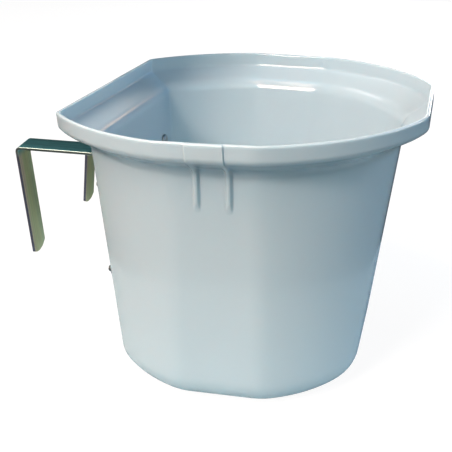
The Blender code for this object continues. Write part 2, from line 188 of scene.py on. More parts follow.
class Wire:
    """An output socket whose arithmetic adds Math nodes."""

    def __init__(self, tree: ShaderTree, socket: NodeSocket) -> None:
        """Wrap a socket of a tree."""
        self.tree = tree
        self.socket = socket

    def _math(self, operation: str, *values: Wire | float) -> Wire:
        """Add one Math node."""
        return self.tree.node("ShaderNodeMath", {"operation": operation}, *values)

    def __add__(self, other: Wire | float) -> Wire:
        """Sum."""
        return self._math("ADD", self, other)

    def __sub__(self, other: Wire | float) -> Wire:
        """Difference."""
        return self._math("SUBTRACT", self, other)

    def __mul__(self, other: Wire | float) -> Wire:
        """Product."""
        return self._math("MULTIPLY", self, other)

    __radd__ = __add__


class ShaderTree:
    """Node tree of one material, with its Principled shader."""

    mix_inputs, mix_output = (6, 7), 2  # The colour sockets of a Mix node.

    def __init__(self, name: str) -> None:
        """Make a material.

        Args:
            name: Its name.
        """
        self.material = bpy.data.materials.new(name)
        self.material.use_nodes = True
        self.tree = self.material.node_tree
        self.shader = self.tree.nodes["Principled BSDF"]

    def node(self, kind: str, settings: dict[str, str], *values: object, out: int | str = 0,
             **named: object) -> Wire:
        """Add a node.

        Args:
            kind: Blender's type name of the node.
            settings: Attributes, set before its sockets.
            values: Values or links of the sockets, in order.
            out: The output to return.
            named: Values or links of sockets by name, with _ for a space.

        Returns:
            The output socket.
        """
        node = self.tree.nodes.new(kind)
        for key, value in settings.items():
            setattr(node, key, value)
        for index, value in enumerate(values):
            self._feed(node.inputs[index], value)
        for key, value in named.items():
            self._feed(node.inputs[key.replace("_", " ")], value)
        return Wire(self, node.outputs[out])

    def _feed(self, socket: NodeSocket, value: object) -> None:
        """Link or set one input socket.

        Args:
            socket: The socket.
            value: What it gets, a Wire to link or a value to set.
        """
        if isinstance(value, Wire):
            self.tree.links.new(value.socket, socket)
        else:
            socket.default_value = value

    def surface(self, **named: object) -> Material:
        """Set the shader's sockets.

        Args:
            named: Values or links by name, with _ for a space.

        Returns:
            The material.
        """
        for key, value in named.items():
            self._feed(self.shader.inputs[key.replace("_", " ")], value)
        return self.material

    def coordinates(self, output: str = "Object") -> Wire:
        """Object or UV coordinates."""
        return self.node("ShaderNodeTexCoord", {}, out=output)

    def placed(self, vector: Wire, scale: Triple) -> Wire:
        """Coordinates stretched along each axis."""
        return self.node("ShaderNodeMapping", {}, vector, Scale=scale)

    def noise(self, vector: Wire, scale: float, detail: float = 3.0) -> Wire:
        """Noise from 0 to 1."""
        return self.node("ShaderNodeTexNoise", {}, vector, Scale=scale, Detail=detail)

    def ranged(self, value: Wire, low: float, high: float, top: float = 1.0) -> Wire:
        """Value carried smoothly from low and high to 0 and top, and kept between them."""
        return self.node("ShaderNodeMapRange", {"interpolation_type": "SMOOTHSTEP"},
                         value, low, high, 0.0, top)

    def mixed(self, share: Wire, first: Wire | Triple, second: Wire | Triple) -> Wire:
        """Mix two colours.

        Args:
            share: Share of the second, from 0 to 1.
            first: The first colour.
            second: The second colour.

        Returns:
            The mixed colour.
        """
        node = self.tree.nodes.new("ShaderNodeMix")
        node.data_type = "RGBA"
        self._feed(node.inputs["Factor"], share)
        for index, colour in zip(self.mix_inputs, (first, second)):
            self._feed(node.inputs[index], colour if isinstance(colour, Wire) else rgb(*colour))
        return Wire(self, node.outputs[self.mix_output])

    def bump(self, height: Wire, distance: float) -> Wire:
        """Normal of a surface raised by height times distance."""
        return self.node("ShaderNodeBump", {}, Height=height, Distance=distance)


def rgb(red: float, green: float, blue: float) -> tuple[float, float, float, float]:
    """Opaque colour."""
    return (red, green, blue, 1.0)


# Finishes.

@dataclass(frozen=True)
class MouldedPlastic:
    """Pale moulded polyethylene, glossy and slightly translucent."""

    colour: Triple = (0.48, 0.60, 0.66)
    shade: Triple = (0.47, 0.59, 0.65)
    roughness: float = 0.13
    roughness_drift: float = 0.06
    flow_stretch: Triple = (1.0, 1.0, 0.35)
    flow_scale: float = 9.0
    flow_range: Pair = (0.35, 0.65)
    skin_scale: float = 140.0
    skin_height: float = 0.00002
    sub_weight: float = 0.75
    sub_radius: Triple = (0.8, 1.0, 1.0)
    sub_depth: float = 0.005

    def make(self) -> Material:
        """Build the material.

        Returns:
            The material.
        """
        tree = ShaderTree("pale moulded plastic")
        place = tree.coordinates()
        flow = tree.noise(tree.placed(place, self.flow_stretch), self.flow_scale)
        skin = tree.noise(place, self.skin_scale, COARSE_DETAIL)
        tone = tree.mixed(tree.ranged(flow, *self.flow_range), self.colour, self.shade)
        return tree.surface(
            Base_Color=tone,
            Roughness=self.roughness + (flow - 0.5) * self.roughness_drift,
            Normal=tree.bump(skin, self.skin_height),
            Subsurface_Weight=self.sub_weight,
            Subsurface_Radius=self.sub_radius,
            Subsurface_Scale=self.sub_depth)


@dataclass(frozen=True)
class PassivatedSteel:
    """Rolled strip, zinc plated and yellow passivated, whose sheen drifts across it.

    It reads the strip's surface coordinates: U is the length walked along the
    strip and V the place across it, both in metres. The arm is painted darker and
    tealer than the legs, as painted shade on the arm. The strip's thin sides are
    slate on the legs and pale on the arm, the pale a painted highlight along the
    arm's edge. The range of the sides is in square centimetres, of the place
    across the strip times itself.
    """

    plum: Triple = (0.74, 0.60, 0.44)
    olive: Triple = (0.62, 0.66, 0.33)
    green: Triple = (0.57, 0.68, 0.38)
    arm_shade_teal: Triple = (0.18, 0.55, 0.55)
    slate: Triple = (0.10, 0.11, 0.16)
    pale: Triple = (0.45, 0.55, 0.50)
    arm: Pair = (0.127, 0.203)
    bend_fade: float = 0.004
    leg_metallic: float = 0.55
    drift_stretch: Triple = (22.0, 60.0, 1.0)
    streak_stretch: Triple = (14.0, 700.0, 1.0)
    grain_stretch: Triple = (40.0, 2500.0, 1.0)
    drift_reach: float = 0.014
    olive_range: Pair = (-0.0125, -0.005)
    green_range: Pair = (0.0, 0.010)
    streak_range: Pair = (0.35, 0.75)
    streak_share: float = 0.3
    side_range: Pair = (1.46, 1.54)
    square_cm: float = 1.0e4
    roughness: float = 0.3
    grain_roughness: float = 0.12
    grain_height: float = 0.00003

    def make(self) -> Material:
        """Build the material.

        Returns:
            The material.
        """
        tree = ShaderTree("yellow passivated steel")
        strip = tree.coordinates("UV")
        along = tree.node("ShaderNodeSeparateXYZ", {}, strip, out=0)
        across = tree.node("ShaderNodeSeparateXYZ", {}, strip, out=1)
        drift = tree.noise(tree.placed(strip, self.drift_stretch), 1.0, COARSE_DETAIL)
        streak = tree.noise(tree.placed(strip, self.streak_stretch), 1.0)
        grain = tree.noise(tree.placed(strip, self.grain_stretch), 1.0)
        place = across + (drift - 0.5) * self.drift_reach
        tone = tree.mixed(tree.ranged(place, *self.olive_range), self.plum, self.olive)
        tone = tree.mixed(tree.ranged(place, *self.green_range), tone, self.green)
        # Painted shade: the arm, from bend to bend, is mixed to a dark teal, the look of its
        # shaded top face.
        start, end = self.arm
        arm = (tree.ranged(along, start - self.bend_fade, start + self.bend_fade)
               - tree.ranged(along, end - self.bend_fade, end + self.bend_fade))
        tone = tree.mixed(arm, tone, self.arm_shade_teal)
        side = tree.ranged(across * across * self.square_cm, *self.side_range)
        streaks = tree.ranged(streak, *self.streak_range, self.streak_share)
        tone = tree.mixed(streaks, tone, self.slate)
        # Thin sides: slate on the legs and pale on the arm, the pale a painted highlight along
        # the arm's edge.
        tone = tree.mixed(side, tone, tree.mixed(arm, self.slate, self.pale))
        return tree.surface(
            Base_Color=tone,
            Metallic=self.leg_metallic + arm * (1.0 - self.leg_metallic),
            Roughness=self.roughness + grain * self.grain_roughness,
            Normal=tree.bump(grain, self.grain_height))


@dataclass(frozen=True)
class ZincPlate:
    """Bright zinc on turned and pressed fixings."""

    colour: Triple = (0.32, 0.36, 0.37)
    cloud_shade: float = 0.7
    cloud_scale: float = 300.0
    cloud_height: float = 0.00002
    roughness: float = 0.24
    cloud_roughness: float = 0.16

    def make(self) -> Material:
        """Build the material.

        Returns:
            The material.
        """
        tree = ShaderTree("zinc plated steel")
        cloud = tree.noise(tree.coordinates(), self.cloud_scale)
        shade = tuple(self.cloud_shade * share for share in self.colour)
        return tree.surface(
            Base_Color=tree.mixed(cloud, self.colour, shade),
            Metallic=1.0,
            Roughness=self.roughness + cloud * self.cloud_roughness,
            Normal=tree.bump(cloud, self.cloud_height))


# The tub.

@dataclass(frozen=True)
class Heights:
    """A size of the tub's plan at its rim, its neck and its floor."""

    rim: float
    neck: float
    floor: float

    def at(self, z: np.ndarray, neck: float, rim: float) -> np.ndarray:
        """Read the size at heights z, in straight lines between the three."""
        return np.interp(z, (0.0, neck, rim), (self.floor, self.neck, self.rim))


@dataclass(frozen=True)
class TubGrid:
    """How the tub's grid is laid: steps on each stretch, and where columns go.

    The columns of a side flat are given in millimetres from its middle, the
    rings of the floor as shares of the way out from its middle.
    """

    lip: int = 3
    collar: int = 11
    rib_share: float = 0.17
    rib_rows: int = 33
    body: int = 17
    inside: int = 21
    over_lip: int = 11
    outer_arcs: tuple[int, int, int] = (12, 9, 14)
    inner_arcs: tuple[int, int, int] = (9, 12, 14)
    side_blend: int = 9
    back_blend: int = 10
    back_flat: int = 31
    back_gap: int = 26
    front_gap: int = 34
    pad_columns: Triple = (0.0, 3.0, 6.0)
    rib_columns: Triple = (8.4, 16.4, 0.32)
    edge_columns: Pair = (18.0, 21.0)
    floor_rings: tuple[float, ...] = (0.03, 0.15, 0.35, 0.55, 0.75, 0.9)

    def flat_columns(self) -> np.ndarray:
        """Places along a side flat where columns go, close together at the ribs."""
        half = np.concatenate((self.pad_columns, np.arange(*self.rib_columns), self.edge_columns))
        return np.concatenate((-half[:0:-1], half)) * MM


@dataclass
class Tub:
    """One moulding: tapered body, flared hollow collar, side lugs with ribs.

    A row of the surface is one point of the wall's profile, which runs from the
    middle of the underside, up the outside, over the lip and down the inside. A
    column is one place round the plan, which is a circle with four blended flats.
    """

    height: float = 0.246
    rim_radius: float = 0.165
    wall: float = 0.003
    floor: float = 0.0035
    draft: float = math.radians(4.7)
    base_rounding: float = 0.0315
    collar_height: float = 0.0270
    neck_inset: float = 0.0245
    lip_draft: float = math.radians(5.0)
    collar_radius: float = 0.0065
    underside_slope: float = math.radians(29.0)
    neck_fillet: float = 0.012
    back_cut: Heights = Heights(0.0388, 0.0354, 0.0297)
    front_cut: Heights = Heights(0.0083, 0.0042, 0.0125)
    side_cut: Heights = Heights(0.0042, 0.0033, 0.0054)
    side_shift: Heights = Heights(0.0088, 0.0098, 0.0060)
    back_corner: Heights = Heights(0.0074, 0.0074, 0.022)
    flat_blend: Heights = Heights(0.034, 0.050, 0.048)
    lug_width: float = 0.0285
    lug_proud: float = 0.0015
    lug_ramp: float = 0.0007
    lug_fade: float = 0.009
    rib_width: float = 0.004
    rib_proud_top: float = 0.0033
    rib_proud_end: float = 0.0021
    rib_length: float = 0.034
    rib_reach: float = 0.019
    rib_hollow: float = 1.4
    rib_shoulder: float = 0.0014
    rib_toe: float = 0.008
    rounding: float = 0.0006
    grid: TubGrid = TubGrid()

    @property
    def neck(self) -> float:
        """Height of the neck, where the collar starts."""
        return self.height - self.collar_height

    def read(self, size: Heights, z: np.ndarray | float) -> np.ndarray:
        """A size of the plan at heights z."""
        return size.at(np.asarray(z, float), self.neck, self.height)

    def body_radius(self, z: np.ndarray | float) -> np.ndarray:
        """Outside radius of the tapered body at height z."""
        fall = self.neck - np.asarray(z, float)
        return self.rim_radius - self.neck_inset - fall * math.tan(self.draft)

    def back_wall(self, z: np.ndarray | float) -> np.ndarray:
        """Distance of the back wall's outer face from the axis."""
        return self.body_radius(z) - self.read(self.back_cut, z)

    def side_wall(self, z: np.ndarray | float) -> np.ndarray:
        """Distance of a side flat's outer face from the axis."""
        return self.body_radius(z) - self.read(self.side_cut, z)

    def side_turn(self, z: np.ndarray) -> np.ndarray:
        """Angle by which a side flat faces forward: asin(shift / distance)."""
        return np.arcsin(self.read(self.side_shift, z) / self.side_wall(np.minimum(z, self.neck)))

    @property
    def back_lean(self) -> float:
        """Angle of the back wall from upright."""
        return math.atan(float(self.back_wall(self.neck) - self.back_wall(0.0)) / self.neck)

    def corners(self, depth: float) -> list[np.ndarray]:
        """Corners of the wall's profile as (inset, height), moved inwards by depth.

        Each straight is moved along its own normal, and each corner is where two
        moved straights meet: p + d t with t = ((q - p) x e) / (d x e).

        Args:
            depth: How far behind the outer face, in metres.

        Returns:
            The rim, the collar's bulge, the waist, the floor's edge and its middle.
        """
        def straight(point: Pair, angle: float) -> Straight:
            """A point and the direction of a straight so far from upright, moved in."""
            along = np.array([math.sin(angle), -math.cos(angle)])
            return np.array(point) + np.array([-along[1], along[0]]) * depth, along

        def meet(one: Straight, other: Straight) -> np.ndarray:
            """Cross two straights.

            Args:
                one: The first one's point and direction.
                other: The second one's.

            Returns:
                The point where they meet.
            """
            (p, d), (q, e) = one, other
            cross = d[0] * e[1] - d[1] * e[0]
            return p + d * ((q[0] - p[0]) * e[1] - (q[1] - p[1]) * e[0]) / cross

        level = np.array([1.0, 0.0])
        top = (np.array([0.0, self.height]), level)
        base = (np.array([0.0, self.floor if depth > 0.0 else 0.0]), level)
        lip = straight((0.0, self.height), self.lip_draft)
        under = straight((self.neck_inset, self.neck), QUARTER - self.underside_slope)
        body = straight((self.neck_inset, self.neck), self.draft)
        edge = meet(body, base)
        return [meet(lip, top), meet(lip, under), meet(under, body), edge,
                edge + level * self.rim_radius]

    @staticmethod
    def rounded(corners: list[np.ndarray], radii: tuple[float, ...],
                arc_steps: tuple[int, ...], marks: list[np.ndarray]) -> np.ndarray:
        """Points along a polyline whose inner corners carry arcs.

        Args:
            corners: The polyline's corners.
            radii: Radius of the arc at each inner corner.
            arc_steps: Steps along each arc.
            marks: For each straight, shares of its length where points go.

        Returns:
            The points, n by 2, up to the end of the last arc.
        """
        parts = []
        start = corners[0]
        for before, corner, after, radius, steps, shares in zip(
                corners, corners[1:], corners[2:], radii, arc_steps, marks):
            a = (before - corner) / np.linalg.norm(before - corner)
            b = (after - corner) / np.linalg.norm(after - corner)
            half = math.acos(float(a @ b)) / 2.0
            centre = corner + (a + b) / np.linalg.norm(a + b) * radius / math.sin(half)
            touch = corner + a * radius / math.tan(half)
            parts.append(start + (touch - start) * shares[:, None])
            turn = -math.copysign(math.pi - 2.0 * half, a[0] * b[1] - a[1] * b[0])
            angle = np.linspace(0.0, turn, steps + 1)
            c, s = np.cos(angle), np.sin(angle)
            spoke = touch - centre
            parts.append(centre + np.stack((c * spoke[0] - s * spoke[1],
                                            s * spoke[0] + c * spoke[1]), axis=-1))
            start = parts[-1][-1]
        return np.vstack(parts)

    def profile(self) -> tuple[np.ndarray, np.ndarray, np.ndarray]:
        """Profile of the wall from the outer floor edge, over the lip, to the inner one.

        Returns:
            For each row its inset from the rim circle, its height and its depth
            behind the outer face.
        """
        grid = self.grid
        lip = np.linspace(0.0, 1.0, grid.lip + 1)[:-1]
        under = inner_points(grid.collar)
        fine = np.concatenate((np.linspace(0.0, grid.rib_share, grid.rib_rows + 1)[1:],
                               inner_points(grid.body, grid.rib_share)))
        coarse = inner_points(grid.inside)
        radii = (self.collar_radius, self.neck_fillet, self.base_rounding)
        outer = self.rounded(self.corners(0.0), radii, grid.outer_arcs, [lip, under, fine])
        radii = (radii[0] - self.wall, radii[1] + self.wall, radii[2] - self.wall)
        inner = self.rounded(self.corners(self.wall), radii, grid.inner_arcs,
                             [lip, under[::2], coarse])
        half = (inner[0, 0] - outer[0, 0]) / 2.0
        outer[0, 1] -= half
        inner[0, 1] -= half
        angle = inner_points(grid.over_lip, 0.0, math.pi)
        over = (outer[0] + inner[0]) / 2.0 + half * np.stack((-np.cos(angle), np.sin(angle)), -1)
        inset, z = np.vstack((outer[::-1], over, inner)).T
        depth = np.concatenate((np.zeros(len(outer)), over[:, 0], np.full(len(inner), self.wall)))
        return inset, z, depth

    def rib_reach_at(self, z: np.ndarray) -> np.ndarray:
        """How far a rib's free edge stands out of the side flat at height z.

        A smooth step leaves the wall at the toe. Above it the edge runs
        straight, then hollows out to the collar's underside with the height above
        the bend raised to the power rib_hollow.

        Args:
            z: The heights.

        Returns:
            The reach, far below zero where there is no rib.
        """
        toe = self.neck - self.rib_length
        top = self.neck + self.rib_reach * math.tan(self.underside_slope)
        bend = self.neck - self.rib_proud_top
        end = self.rib_proud_end
        round_toe = end * smooth_step((z - toe) / self.rib_toe)
        along = np.clip((z - toe - end) / (bend - toe - end), 0.0, 1.0)
        hollow = np.clip((z - bend) / (top - bend), 0.0, 1.0)
        reach = round_toe + (self.rib_proud_top - end) * along
        reach = reach + (self.rib_reach - self.rib_proud_top) * hollow ** self.rib_hollow
        return np.where((z < toe) | (z > top), -self.rim_radius, reach)

    def lug(self, out: np.ndarray, along: np.ndarray, z: np.ndarray,
            depth: np.ndarray) -> np.ndarray:
        """Raise the pad and the ribs of a lug out of a side flat.

        The pad adds proud x rise(z) x ramp(along). A rib replaces the distance
        out by the larger of itself and the rib's free edge, inside the rib's
        width, whose two flanks are smooth steps.

        Args:
            out: Distance out from the axis, rows by columns.
            along: Place along the flat, rows by columns.
            z: Height of each row, as a column.
            depth: Depth of each row behind the outer face, as a column.

        Returns:
            The new distance out.
        """
        edge = self.lug_width / 2.0
        rise = smooth_step((z - self.neck) / self.lug_fade)
        skin = np.clip(1.0 - depth / self.wall, 0.0, 1.0)
        ramp = smooth_step((edge - np.abs(along)) / self.lug_ramp)
        out = out + self.lug_proud * rise * skin * ramp
        centre = (self.lug_width - self.rib_width) / 2.0
        away = np.abs(np.abs(along) - centre)
        flank = smooth_step((self.rib_width / 2.0 + self.rib_shoulder - away)
                            / (2.0 * self.rib_shoulder))
        free = self.side_wall(z) + self.rib_reach_at(z)
        return out + flank * (depth <= 0.0) * soft_rise(free - out, self.rounding)

    def outline(self, inset: np.ndarray, z: np.ndarray, depth: np.ndarray) -> np.ndarray:
        """Plan of each row, counter-clockwise from above.

        The plan is a circle. Each flat lies at radius - cut from the axis and
        joins the circle over arcs that touch both. In a flat's own axes an arc's
        centre is at (radius - cut - r, +-sqrt((radius - r)^2 - that^2)).

        Args:
            inset: Distance in from the rim circle for each row.
            z: Height of each row.
            depth: Depth of each row behind the outer face.

        Returns:
            X and Y, rows by columns by 2.
        """
        inset, z, depth = inset[:, None], z[:, None], depth[:, None]
        radius = self.rim_radius - inset
        shrink = np.minimum(radius / self.body_radius(np.minimum(z, self.neck)), 1.0)
        turn = self.side_turn(z)
        grid = self.grid
        lug = grid.flat_columns()
        flats = (
            (self.side_cut, self.flat_blend, -turn, lug, grid.side_blend, grid.back_gap),
            (self.back_cut, self.back_corner, np.full_like(z, QUARTER), None,
             grid.back_blend, grid.back_gap),
            (self.side_cut, self.flat_blend, math.pi + turn, lug, grid.side_blend,
             grid.front_gap),
            (self.front_cut, self.flat_blend, np.full_like(z, 3.0 * QUARTER), None,
             grid.side_blend, grid.front_gap))
        arcs, spans, facings = [], [], []
        for cut, blend, facing, places, steps, _ in flats:
            arc = (self.read(blend, z) - depth) * shrink
            centre = radius - self.read(cut, z) - arc
            reach = np.sqrt((radius - arc) ** 2 - centre ** 2)
            span = np.arctan2(reach, centre)
            swing = span * np.linspace(0.0, 1.0, steps + 1)
            if places is None:
                along = reach * inner_points(grid.back_flat, -1.0)
                out = (centre + arc) * np.ones_like(along)
            else:
                along = places * np.ones_like(reach)
                out = self.lug((centre + arc) * np.ones_like(along), along, z, depth)
            across = np.concatenate((-reach - arc * np.sin(span - swing), along,
                                     reach + arc * np.sin(swing)), axis=1)
            far = np.concatenate((centre + arc * np.cos(span - swing), out,
                                  centre + arc * np.cos(swing)), axis=1)
            c, s = np.cos(facing), np.sin(facing)
            arcs.append(np.stack((c * far - s * across, s * far + c * across), axis=-1))
            spans.append(span)
            facings.append(facing)
        parts = []
        for i, (*_, steps) in enumerate(flats):
            after = (i + 1) % len(flats)
            start = facings[i] + spans[i]
            end = facings[after] - spans[after]
            end = np.where(end < start, end + 2.0 * math.pi, end)
            angle = start + (end - start) * inner_points(steps)
            parts += [arcs[i], radius[..., None] * np.stack((np.cos(angle), np.sin(angle)), -1)]
        return np.concatenate(parts, axis=1)

    def mesh(self) -> Mesh:
        """Draw the closed moulding, its floor drawn in to a pole on each face.

        Returns:
            The mesh.
        """
        inset, z, depth = self.profile()
        plan = self.outline(inset, z, depth)
        shares = np.array(self.grid.floor_rings)[:, None, None]
        plan = np.concatenate((plan[:1] * shares, plan, plan[-1:] * shares[::-1]))
        level = np.concatenate((np.full(len(shares), z[0]), z, np.full(len(shares), z[-1])))
        tall = np.broadcast_to(level[:, None, None], plan.shape[:2] + (1,))
        return grid_mesh("tub_moulding", np.concatenate((plan, tall), axis=2))


# Hooks and fixings.

@dataclass
class RailHook:
    """One bent steel strip: inner leg on the wall, arm out, outer leg down."""

    tub: Tub
    x: float
    gap: float
    tilt: float
    skew: float
    spread: float
    width: float = 0.025
    thickness: float = 0.0025
    bend: float = 0.0025
    arm_drop: float = 0.040
    outer_leg: float = 0.1045
    crown: float = 0.0203
    bolt_drop: float = 0.032
    bolt_pitch: float = 0.081
    leg_margin: float = 0.014
    seat_gap: float = 0.0003
    edge: float = 0.0005
    tip_start: float = 0.004
    arc_steps: int = 12
    leg_steps: int = 13
    edge_points: int = 5

    def frame(self) -> Matrix:
        """Find the axes at the upper bolt.

        Returns:
            They: local Y points out of the wall and Z up the leg.
        """
        lean = self.tub.back_lean
        z = self.tub.height - self.arm_drop - self.bolt_drop * math.cos(lean)
        place = Matrix.Translation((self.x, float(self.tub.back_wall(z)), z))
        return place @ Matrix.Rotation(-lean, 4, "X") @ Matrix.Rotation(self.tilt, 4, "Y")

    def fixing_frames(self) -> dict[str, Matrix]:
        """Find the axes of the two bolts, on the wall's outer face.

        Returns:
            They, by the bolt's level: local Z points out.
        """
        turn = Matrix.Rotation(-QUARTER, 4, "X")
        down = Matrix.Translation((0.0, 0.0, -self.bolt_pitch))
        return {"upper": self.frame() @ turn, "lower": self.frame() @ down @ turn}

    def crown_height(self) -> float:
        """Height of a leg's rounded end."""
        return self.crown - math.sqrt(self.crown ** 2 - (self.width / 2.0) ** 2)

    def stations(self) -> tuple[np.ndarray, ...]:
        """Walk along the strip's rail side.

        In a bend the strip turns about its fold line: the point is centre -
        face(a) r - line tan(skew) a (r + t/2), with a running to the bend's angle.

        Returns:
            For each station its point, the unit normal of the rail side, the
            width's direction and the distance walked.
        """
        axes = np.array(self.frame().to_3x3())
        out, up = axes[:, 1], axes[:, 2]
        below = self.bolt_pitch + self.leg_margin
        point = np.array(self.frame().translation) - up * below
        point = point + out * (self.seat_gap + self.thickness)
        ahead, face, walked = up, out, 0.0
        points, faces, lines, walks = [], [], [], []

        def straight(length: float, shares: np.ndarray) -> None:
            """Walk straight ahead.

            Args:
                length: How far.
                shares: Where stations go, as shares of the length.
            """
            nonlocal point, walked
            steps = shares[:, None] * length
            points.append(point + ahead * steps)
            faces.append(np.tile(face, (len(shares), 1)))
            lines.append(np.tile(np.cross(face, ahead), (len(shares), 1)))
            walks.append(walked + steps[:, 0])
            point, walked = point + ahead * length, walked + length

        def fold(angle: float, skew: float) -> None:
            """Walk round a bend.

            Args:
                angle: The bend's angle.
                skew: Angle of its fold line from the width's direction.
            """
            nonlocal point, walked, ahead, face
            line = spun(np.cross(face, ahead), face, np.array([skew]))[0]
            a = np.linspace(0.0, angle, self.arc_steps + 1)
            normal = spun(face, line, -a)
            middle = self.bend + self.thickness / 2.0
            slide = line * (math.tan(skew) * middle) * a[:, None]
            points.append(point + face * self.bend - normal * self.bend - slide)
            faces.append(normal)
            lines.append(np.tile(line / math.cos(skew), (len(a), 1)))
            walks.append(walked + a * middle)
            ahead, face = spun(ahead, line, -a[-1:])[0], normal[-1]
            point, walked = points[-1][-1], walks[-1][-1]

        rounding = 1.0 - np.cos(np.linspace(0.0, QUARTER, self.arc_steps + 1))
        tip = np.concatenate(((self.tip_start,), rounding[1:]))
        even = inner_points(self.leg_steps)
        crown = self.crown_height()
        straight(crown, tip)
        straight(below + self.bolt_drop - crown - self.bend - self.thickness, even)
        fold(QUARTER - self.tub.back_lean, 0.0)
        straight(self.gap - 2.0 * self.bend, even)
        fold(QUARTER - self.spread, self.skew)
        straight(self.outer_leg - crown - self.bend, even)
        straight(crown, 1.0 - tip[::-1])
        return tuple(np.concatenate(part) for part in (points, faces, lines, walks))

    def mesh(self, name: str) -> Mesh:
        """Draw the strip, with rounded edges and ends.

        Args:
            name: Name of the mesh.

        Returns:
            The mesh, whose surface coordinates are the strip's length and width.
        """
        points, faces, lines, walks = self.stations()
        tip = np.minimum(walks, walks[-1] - walks)
        side = np.sqrt(np.clip(self.crown ** 2 - (self.crown - tip) ** 2, 0.0, None))
        half = np.where(tip < self.crown_height(), side, self.width / 2.0)[:, None]
        flat = self.thickness / 2.0
        thin = flat - self.edge + np.sqrt(
            self.edge ** 2 - np.clip(self.edge - tip, 0.0, self.edge) ** 2)[:, None]
        count = self.edge_points
        quarter = np.linspace(0.0, QUARTER, count)
        angle = np.concatenate([quarter + k * QUARTER for k in range(4)])
        sign_x, sign_y = np.repeat((1, -1, -1, 1), count), np.repeat((1, 1, -1, -1), count)
        edge = np.minimum(self.edge, half)
        x = sign_x * (half - edge) + edge * np.cos(angle)
        edge = np.minimum(edge, thin)
        y = sign_y * (thin - edge) + edge * np.sin(angle)
        middle = points - faces * flat
        grid = middle[:, None] + lines[:, None] * x[..., None] + faces[:, None] * y[..., None]
        uv = np.stack((np.broadcast_to(walks[:, None], x.shape), x), axis=-1)
        return grid_mesh(name, grid, uv=uv)


def turned_mesh(name: str, radius: np.ndarray, z: np.ndarray, columns: int,
                place: Matrix = Matrix(), wrap_rows: bool = False) -> Mesh:
    """Mesh of a body about local Z: points (r cos a, r sin a, z) on a grid.

    Args:
        name: Name of the mesh.
        radius: Radius at each row, or at each row and column.
        z: Height of each row, as a column.
        columns: How many points go round.
        place: Where local Z goes.
        wrap_rows: True where the last row joins the first, as round a bore.

    Returns:
        The mesh, in place.
    """
    angle = np.linspace(0.0, 2.0 * math.pi, columns, endpoint=False)
    grid = np.broadcast_arrays(radius * np.cos(angle), radius * np.sin(angle), z)
    mesh = grid_mesh(name, np.stack(grid, axis=-1), wrap_rows)
    mesh.transform(place)
    return mesh


@dataclass
class Fixing:
    """A bolt with a low domed head inside the tub, and its nut outside."""

    hook: RailHook
    diameter: float = 0.006
    pitch: float = 0.001
    thread_depth: float = 0.00045
    head_diameter: float = 0.012
    head_height: float = 0.0033
    head_brim: float = 0.0008
    nut_flats: float = 0.010
    nut_height: float = 0.005
    nut_land: float = 0.0047
    nut_chamfer: float = 0.0006
    bolt_end: float = 0.003
    end_chamfer: float = 0.0007
    clearance: float = 0.0003
    brim_chamfer: float = 0.0002
    dome_share: float = 0.97
    dome_rows: int = 12
    thread_run_in: float = 0.0012
    thread_gap: float = 0.0001
    thread_rows: int = 46
    last_row: float = 0.2
    chamfer_rows: int = 7
    side_rows: int = 3
    columns: int = 48

    @property
    def seat(self) -> float:
        """Height of the nut's face on the hook."""
        return self.hook.thickness + 2.0 * self.hook.seat_gap

    def bolt_mesh(self, name: str, place: Matrix) -> Mesh:
        """Draw a bolt: a dome, a shank and a thread on what shows past the nut.

        The thread's radius is r - depth |2 frac(z / pitch - a / 2 pi) - 1|.

        Args:
            name: Name of the mesh.
            place: Axes of the bolt.

        Returns:
            The mesh, in place.
        """
        shank, head = self.diameter / 2.0, self.head_diameter / 2.0
        under = -self.hook.tub.wall - self.hook.seat_gap
        end = self.seat + self.nut_height + self.bolt_end
        dome = self.head_height - self.head_brim
        a = np.linspace(0.0, QUARTER, self.dome_rows)[-2::-1]
        head_r = head * np.cos(a * self.dome_share)
        head_z = under - self.head_brim - dome * np.sin(a)
        start = self.seat + self.nut_height - self.thread_run_in
        thread_z = np.linspace(start, end - self.end_chamfer * self.last_row, self.thread_rows)
        brim = self.brim_chamfer
        r = np.concatenate((head_r, (head, head - brim, shank, shank),
                            np.full(self.thread_rows, shank), (shank - self.end_chamfer,)))
        z = np.concatenate((head_z, (under - brim, under, under, start - self.thread_gap),
                            thread_z, (end,)))
        r, z = r[:, None], z[:, None]
        angle = np.linspace(0.0, 2.0 * math.pi, self.columns, endpoint=False)
        wave = np.abs(2.0 * np.mod(z / self.pitch - angle / (2.0 * math.pi), 1.0) - 1.0)
        cut = self.thread_depth * wave * (z >= start) * (z < end)
        taper = np.clip(z - (end - self.end_chamfer), 0.0, None)
        radius = np.where(z >= start, np.minimum(r - cut, shank - taper), r)
        return turned_mesh(name, radius, z, self.columns, place)

    def nut_mesh(self, name: str, place: Matrix) -> Mesh:
        """Draw a hexagon nut: each row's radius is the smaller of hexagon and cone.

        The hexagon is flat / cos(angle from the nearest flat). The cone rises
        from the land by the chamfer over the hexagon's reach.

        Args:
            name: Name of the mesh.
            place: Axes of the bolt that it is on.

        Returns:
            The mesh, in place.
        """
        bore = self.diameter / 2.0 + self.clearance
        inner = self.nut_flats / 2.0
        half_side = math.pi / 6.0
        corner = inner / math.cos(half_side)
        slope = (corner - self.nut_land) / self.nut_chamfer
        angle = np.linspace(0.0, 2.0 * math.pi, self.columns * 2, endpoint=False)
        off = np.mod(angle + half_side, 2.0 * half_side) - half_side
        hexagon = inner / np.cos(off)
        chamfer, middle = self.nut_chamfer, self.nut_height / 2.0
        up = np.concatenate((np.linspace(0.0, chamfer, self.chamfer_rows),
                             np.linspace(chamfer, middle, self.side_rows)[1:]))
        level = np.concatenate((up, (self.nut_height - up)[-2::-1]))
        cone = self.nut_land + slope * np.minimum(level, self.nut_height - level)
        wall = np.minimum(hexagon, cone[:, None])
        top = np.full((1, len(angle)), bore)
        radius = np.concatenate((top, wall, top))
        z = self.seat + np.concatenate(((0.0,), level, (self.nut_height,)))
        return turned_mesh(name, radius, z[:, None], len(angle), place, True)


# The studio.

